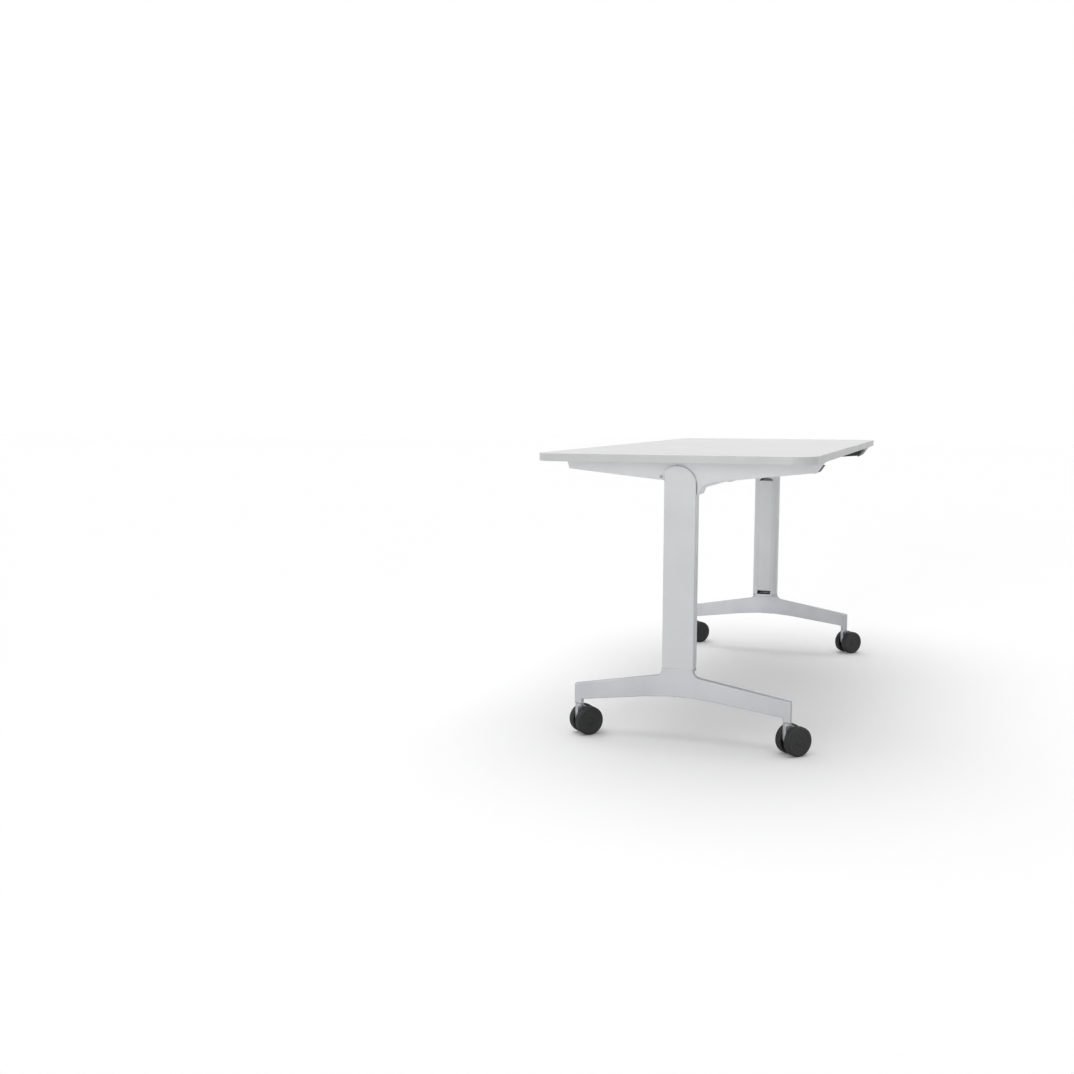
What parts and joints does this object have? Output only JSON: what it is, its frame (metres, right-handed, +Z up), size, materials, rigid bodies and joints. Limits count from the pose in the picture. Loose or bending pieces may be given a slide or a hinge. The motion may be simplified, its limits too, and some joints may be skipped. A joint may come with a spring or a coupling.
{
  "type": "flip top training table",
  "caption": "Training table with a round-cornered white top that flips upright on T-legs with a cross tube, release levers and twin-wheel swivel castors.",
  "frame": {"origin": "on the floor under the middle of the top", "axes": "+X along the table to the right, -Y towards the user (lever side), +Z up; the top is level, in use"},
  "size_m": [1.6, 0.68, 0.74],
  "materials": {
    "melamine": "white melamine on chipboard",
    "edging": "pale grey plastic edging",
    "coated_aluminium": "silver-grey powder coat",
    "coated_steel": "silver-grey powder coat",
    "cast_aluminium": "satin silver paint on a casting",
    "black_plastic": "moulded black plastic",
    "wheel_plastic": "moulded black plastic",
    "rubber": "moulded dark rubber",
    "steel": "turned or pressed zinc-plated steel",
    "nylon": "moulded nylon"
  },
  "bodies": {
    "frame": {"cross_tube": "coated_steel", "centre_support": "coated_steel", "foot_left": "cast_aluminium", "column_left": "coated_aluminium", "column_cover_left": "coated_aluminium", "head_left": "coated_aluminium", "tube_ring_left": "coated_steel", "pivot_bush_left": "nylon", "rest_pad_left": "rubber", "foot_right": "cast_aluminium", "column_right": "coated_aluminium", "column_cover_right": "coated_aluminium", "head_right": "coated_aluminium", "tube_ring_right": "coated_steel", "pivot_bush_right": "nylon", "rest_pad_right": "rubber"},
    "top": {"table_top": "melamine", "edge_band": "edging", "rail_left": "coated_aluminium", "pivot_pin_left": "steel", "lever_pin_left": "steel", "lever_spring_left": "steel", "latch_pin_left": "steel", "rail_right": "coated_aluminium", "pivot_pin_right": "steel", "lever_pin_right": "steel", "lever_spring_right": "steel", "latch_pin_right": "steel"},
    "lever_left": {"lever_left": "black_plastic"},
    "pull_link_left": {"pull_link_left": "steel"},
    "latch_left": {"latch_left": "steel"},
    "lever_right": {"lever_right": "black_plastic"},
    "pull_link_right": {"pull_link_right": "steel"},
    "latch_right": {"latch_right": "steel"},
    "castor_left_front": {"castor_body_left_front": "cast_aluminium", "castor_stem_left_front": "steel", "castor_axle_left_front": "steel"},
    "wheel_left_front_outer": {"castor_wheel_left_front_outer": "wheel_plastic"},
    "wheel_left_front_inner": {"castor_wheel_left_front_inner": "wheel_plastic"},
    "castor_left_rear": {"castor_body_left_rear": "cast_aluminium", "castor_stem_left_rear": "steel", "castor_axle_left_rear": "steel"},
    "wheel_left_rear_outer": {"castor_wheel_left_rear_outer": "wheel_plastic"},
    "wheel_left_rear_inner": {"castor_wheel_left_rear_inner": "wheel_plastic"},
    "castor_right_front": {"castor_body_right_front": "cast_aluminium", "castor_stem_right_front": "steel", "castor_axle_right_front": "steel"},
    "wheel_right_front_outer": {"castor_wheel_right_front_outer": "wheel_plastic"},
    "wheel_right_front_inner": {"castor_wheel_right_front_inner": "wheel_plastic"},
    "castor_right_rear": {"castor_body_right_rear": "cast_aluminium", "castor_stem_right_rear": "steel", "castor_axle_right_rear": "steel"},
    "wheel_right_rear_outer": {"castor_wheel_right_rear_outer": "wheel_plastic"},
    "wheel_right_rear_inner": {"castor_wheel_right_rear_inner": "wheel_plastic"}
  },
  "joints": [
    {"name": "top_flip", "type": "hinge", "parent": "frame", "child": "top", "pos_m": [0, 0.0555, 0.68], "axis": [-1, 0, 0], "range_deg": [0, 90]},
    {"name": "lever_left_squeeze", "type": "hinge", "parent": "top", "child": "lever_left", "pos_m": [-0.63, -0.236, 0.7], "axis": [-1, 0, 0], "range_deg": [0, 6], "stiffness_Nm_per_rad": 0.6, "springref_deg": -20.05},
    {"name": "pull_link_left_slide", "type": "slide", "parent": "top", "child": "pull_link_left", "axis": [0, 1, 0], "range_m": [0, 0.0012]},
    {"name": "latch_left_release", "type": "hinge", "parent": "top", "child": "latch_left", "pos_m": [-0.63, -0.07, 0.694], "axis": [-1, 0, 0], "range_deg": [0, 4]},
    {"name": "lever_right_squeeze", "type": "hinge", "parent": "top", "child": "lever_right", "pos_m": [0.63, -0.236, 0.7], "axis": [-1, 0, 0], "range_deg": [0, 6], "stiffness_Nm_per_rad": 0.6, "springref_deg": -20.05},
    {"name": "pull_link_right_slide", "type": "slide", "parent": "top", "child": "pull_link_right", "axis": [0, 1, 0], "range_m": [0, 0.0012]},
    {"name": "latch_right_release", "type": "hinge", "parent": "top", "child": "latch_right", "pos_m": [0.63, -0.07, 0.694], "axis": [-1, 0, 0], "range_deg": [0, 4]},
    {"name": "castor_left_front_swivel", "type": "hinge", "parent": "frame", "child": "castor_left_front", "pos_m": [-0.6445, -0.269, 0.084], "axis": [0, 0, 1], "continuous": true},
    {"name": "wheel_left_front_outer_spin", "type": "hinge", "parent": "castor_left_front", "child": "wheel_left_front_outer", "pos_m": [-0.63011, -0.28289, 0.0375], "axis": [0.6947, 0.7193, 0], "continuous": true},
    {"name": "wheel_left_front_inner_spin", "type": "hinge", "parent": "castor_left_front", "child": "wheel_left_front_inner", "pos_m": [-0.63011, -0.28289, 0.0375], "axis": [0.6947, 0.7193, 0], "continuous": true},
    {"name": "castor_left_rear_swivel", "type": "hinge", "parent": "frame", "child": "castor_left_rear", "pos_m": [-0.6445, 0.269, 0.084], "axis": [0, 0, 1], "continuous": true},
    {"name": "wheel_left_rear_outer_spin", "type": "hinge", "parent": "castor_left_rear", "child": "wheel_left_rear_outer", "pos_m": [-0.63011, 0.25511, 0.0375], "axis": [0.6947, 0.7193, 0], "continuous": true},
    {"name": "wheel_left_rear_inner_spin", "type": "hinge", "parent": "castor_left_rear", "child": "wheel_left_rear_inner", "pos_m": [-0.63011, 0.25511, 0.0375], "axis": [0.6947, 0.7193, 0], "continuous": true},
    {"name": "castor_right_front_swivel", "type": "hinge", "parent": "frame", "child": "castor_right_front", "pos_m": [0.6445, -0.269, 0.084], "axis": [0, 0, 1], "continuous": true},
    {"name": "wheel_right_front_outer_spin", "type": "hinge", "parent": "castor_right_front", "child": "wheel_right_front_outer", "pos_m": [0.65889, -0.28289, 0.0375], "axis": [0.6947, 0.7193, 0], "continuous": true},
    {"name": "wheel_right_front_inner_spin", "type": "hinge", "parent": "castor_right_front", "child": "wheel_right_front_inner", "pos_m": [0.65889, -0.28289, 0.0375], "axis": [0.6947, 0.7193, 0], "continuous": true},
    {"name": "castor_right_rear_swivel", "type": "hinge", "parent": "frame", "child": "castor_right_rear", "pos_m": [0.6445, 0.269, 0.084], "axis": [0, 0, 1], "continuous": true},
    {"name": "wheel_right_rear_outer_spin", "type": "hinge", "parent": "castor_right_rear", "child": "wheel_right_rear_outer", "pos_m": [0.65889, 0.25511, 0.0375], "axis": [0.6947, 0.7193, 0], "continuous": true},
    {"name": "wheel_right_rear_inner_spin", "type": "hinge", "parent": "castor_right_rear", "child": "wheel_right_rear_inner", "pos_m": [0.65889, 0.25511, 0.0375], "axis": [0.6947, 0.7193, 0], "continuous": true}
  ],
  "couplings": [
    {"joint": "pull_link_left_slide", "follows": "lever_left_squeeze", "m_per_rad": 0.011},
    {"joint": "latch_left_release", "follows": "lever_left_squeeze", "ratio": 0.64706},
    {"joint": "pull_link_right_slide", "follows": "lever_right_squeeze", "m_per_rad": 0.011},
    {"joint": "latch_right_release", "follows": "lever_right_squeeze", "ratio": 0.64706}
  ]
}
